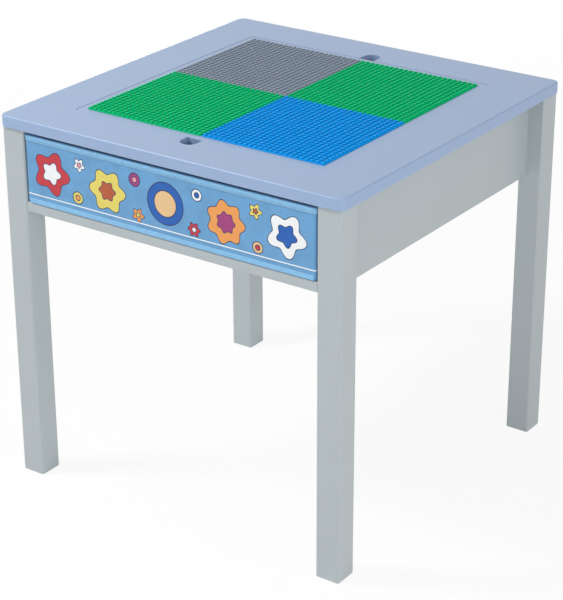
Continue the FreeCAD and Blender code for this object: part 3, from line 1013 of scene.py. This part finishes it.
HARDBOARD_TONES = ("#A58A68", "#7C6248")
HARDBOARD_FIBRE_MM = 1.4
HARDBOARD_ROUGHNESS = 0.75
BEECH_TONES = ("#D9B98C", "#C09A68")
BEECH_FLECK_MM = 0.7
BEECH_ROUGHNESS = 0.6
FLECK_DEPTH_MM = 0.1
FLECK_STRENGTH = 0.5
ZINC_COLOUR = "#B9BCC0"
ZINC_SPANGLE_MM = 1.8
ZINC_ROUGHNESS = (0.28, 0.45)


def raw_wood(name, tones, fleck_mm, roughness):
    """Unpainted wood or hardboard: fine flecks of two tones and a dull surface."""
    material, tree, shader, place = new_finish(name)
    fleck = add(tree, "TexNoise", {"Vector": place, "Scale": per(fleck_mm), "Detail": 5.0})
    pale, dark = (opaque(linear(tone)) for tone in tones)
    tone = add(tree, "MixRGB", {"Fac": fleck.outputs["Fac"], "Color1": pale, "Color2": dark})
    tree.links.new(tone.outputs["Color"], shader.inputs["Base Color"])
    bump = add(
        tree,
        "Bump",
        {"Strength": FLECK_STRENGTH, "Distance": FLECK_DEPTH_MM * MM, "Height": fleck.outputs["Fac"]},
    )
    tree.links.new(bump.outputs["Normal"], shader.inputs["Normal"])
    shader.inputs["Roughness"].default_value = roughness
    return material


def zinc_plate():
    """Die-cast, zinc plated metal: a cool grey with small spangles."""
    material, tree, shader, place = new_finish("zinc_plate")
    spangle = add(tree, "TexVoronoi", {"Vector": place, "Scale": per(ZINC_SPANGLE_MM)})
    gloss = add(
        tree,
        "MapRange",
        {
            "Value": spangle.outputs["Distance"],
            "To Min": ZINC_ROUGHNESS[0],
            "To Max": ZINC_ROUGHNESS[1],
        },
    )
    tree.links.new(gloss.outputs["Result"], shader.inputs["Roughness"])
    shader.inputs["Base Color"].default_value = opaque(linear(ZINC_COLOUR))
    shader.inputs["Metallic"].default_value = 1.0
    return material


class PLAYTABLE_OT_hidden_pieces(Operator):
    """Gives the stiff boards, the dowels and the metal fittings their finish."""

    bl_idname = "playtable.hidden_pieces"
    bl_label = "Boards and fittings"

    def execute(self, context):
        groups = (
            (
                STIFF_BOARDS,
                raw_wood("hardboard", HARDBOARD_TONES, HARDBOARD_FIBRE_MM, HARDBOARD_ROUGHNESS),
            ),
            (DOWELS, raw_wood("beech", BEECH_TONES, BEECH_FLECK_MM, BEECH_ROUGHNESS)),
            (METAL_FITTINGS, zinc_plate()),
        )
        for nodes, material in groups:
            for node in nodes:
                give_finish(frame["nodes"][node], material)
        return {"FINISHED"}


# Stage

FLOOR_SIZE_M = 14.0
STUDIO_WHITE = "#FFFFFF"
AMBIENT = 0.42

# How much of the paper's own shading shows near the table, and between which distances that fades
SHADOW_SHARE = 0.12
SHADOW_REACH_M = (0.8, 2.4)

# The camera looks at this point, moved within the picture by the shift to the right and up
LOOKED_AT = Vector((0, 0, 0.25))
LOOK_SHIFT_MM = (6.85, 13.24)
SENSOR_MM = 36.0

# Each soft box: its name, its place and its side in metres, and its power in watts
SOFT_BOXES = (
    ("key_light", (-1.6, -1.3, 2.5), 0.6, 46.0),
    ("side_light", (2.8, -1.0, 1.1), 2.2, 28.0),
    ("front_light", (0.8, -1.2, 0.9), 1.0, 2.1),
    ("back_light", (-1.9, 2.3, 0.14), 0.75, 24.0),
)


def seen_share(tree):
    """One for rays that the camera sees, also in a mirror or through glass, and zero for other rays."""
    path = add(tree, "LightPath", {}).outputs
    seen = add(tree, "Math", {0: path["Is Camera Ray"], 1: path["Is Glossy Ray"]}, operation="MAXIMUM")
    seen = add(tree, "Math", {0: seen.outputs[0], 1: path["Is Transmission Ray"]}, operation="MAXIMUM")
    return seen.outputs[0]


def studio_floor(context):
    """A wide white floor: shaded paper under a veil of white, which closes away from the table."""
    start_piece()
    bpy.ops.mesh.primitive_plane_add(size=FLOOR_SIZE_M)
    floor = place_piece(context, "floor", (1, 1, 1), (0, 0, 0))
    material, tree, shader, place = new_finish("floor_paper")
    shader.inputs["Base Color"].default_value = opaque(linear(STUDIO_WHITE))
    shader.inputs["Roughness"].default_value = 1.0
    shader.inputs["Specular IOR Level"].default_value = 0.0
    white = add(tree, "Emission", {"Color": opaque(linear(STUDIO_WHITE)), "Strength": 1.0})
    away = add(tree, "VectorMath", {0: place}, operation="LENGTH")
    white_share = add(
        tree,
        "MapRange",
        {
            "Value": away.outputs["Value"],
            "From Min": SHADOW_REACH_M[0],
            "From Max": SHADOW_REACH_M[1],
            "To Min": 1 - SHADOW_SHARE,
            "To Max": 1.0,
        },
    )
    veil = add(tree, "Math", {0: seen_share(tree), 1: white_share.outputs["Result"]}, operation="MULTIPLY")
    paper = add(
        tree,
        "MixShader",
        {0: veil.outputs[0], 1: shader.outputs["BSDF"], 2: white.outputs["Emission"]},
    )
    tree.links.new(paper.outputs["Shader"], tree.nodes["Material Output"].inputs["Surface"])
    give_finish(floor, material)


def studio_world(context):
    """White surroundings: plain white where they are seen or mirrored, softer where they light."""
    world = bpy.data.worlds.new("studio")
    context.scene.world = world
    world.use_nodes = True
    tree = world.node_tree
    strength = add(tree, "MapRange", {"Value": seen_share(tree), "To Min": AMBIENT, "To Max": 1.0})
    tree.links.new(strength.outputs["Result"], tree.nodes["Background"].inputs["Strength"])
    tree.nodes["Background"].inputs["Color"].default_value = opaque(linear(STUDIO_WHITE))


def soft_box(context, name, place, side, power):
    """One square soft box that looks at the table."""
    bpy.ops.object.light_add(type="AREA", location=place)
    lamp = context.object
    lamp.name = name
    lamp.data.size = side
    lamp.data.energy = power
    lamp.rotation_euler = (LOOKED_AT - Vector(place)).to_track_quat("-Z", "Y").to_euler()


def studio_camera(context, stage):
    """A camera that sees the table from the front right, a little above it."""
    level = math.cos(stage.elevation)
    right = Vector((math.cos(stage.azimuth), math.sin(stage.azimuth), 0))
    back = Vector((right.y * level, -right.x * level, math.sin(stage.elevation)))
    up = back.cross(right)
    tilt = Matrix.Rotation(stage.roll, 3, back)
    right, up = tilt @ right, tilt @ up
    place = LOOKED_AT + back * stage.distance - (right * LOOK_SHIFT_MM[0] + up * LOOK_SHIFT_MM[1]) * MM
    bpy.ops.object.camera_add()
    camera = context.object
    camera.matrix_world = Matrix.Translation(place) @ Matrix((right, up, back)).transposed().to_4x4()
    camera.data.sensor_width = SENSOR_MM
    camera.data.lens = stage.lens
    context.scene.camera = camera


class PLAYTABLE_OT_stage(Operator):
    """Sets up the floor, the soft studio light and the camera."""

    bl_idname = "playtable.stage"
    bl_label = "Stage"

    def execute(self, context):
        studio_floor(context)
        studio_world(context)
        for box in SOFT_BOXES:
            soft_box(context, *box)
        studio_camera(context, context.scene.play_table.stage)
        context.scene.view_settings.view_transform = "Standard"
        return {"FINISHED"}


# Add-on

OPERATORS = (
    PLAYTABLE_OT_painted_boards,
    PLAYTABLE_OT_stud_plates,
    PLAYTABLE_OT_bin_tapes,
    PLAYTABLE_OT_bin_stitches,
    PLAYTABLE_OT_bin_cover,
    PLAYTABLE_OT_bin_lining,
    PLAYTABLE_OT_hidden_pieces,
    PLAYTABLE_OT_stage,
)


class PLAYTABLE_PT_sidebar(Panel):
    """Lists the steps that dress the play table."""

    bl_label = "Play Table"
    bl_space_type = "VIEW_3D"
    bl_region_type = "UI"
    bl_category = "Play Table"

    def draw(self, context):
        for operator in OPERATORS:
            self.layout.operator(operator.bl_idname)


CLASSES = (
    PlayTablePaint,
    PlayTableStuds,
    PlayTableCloth,
    PlayTableStage,
    PlayTableSettings,
    *OPERATORS,
    PLAYTABLE_PT_sidebar,
)


def register():
    """Registers the classes and the settings."""
    for item in CLASSES:
        bpy.utils.register_class(item)
    bpy.types.Scene.play_table = PointerProperty(type=PlayTableSettings)


def unregister():
    """Removes the settings and the classes."""
    del bpy.types.Scene.play_table
    for item in reversed(CLASSES):
        bpy.utils.unregister_class(item)


def main():
    """Dresses the table step by step."""
    register()
    bpy.ops.playtable.painted_boards()
    bpy.ops.playtable.stud_plates()
    bpy.ops.playtable.bin_tapes()
    bpy.ops.playtable.bin_stitches()
    bpy.ops.playtable.bin_cover()
    bpy.ops.playtable.bin_lining()
    bpy.ops.playtable.hidden_pieces()
    bpy.ops.playtable.stage()


if __name__ == "__main__":
    main()
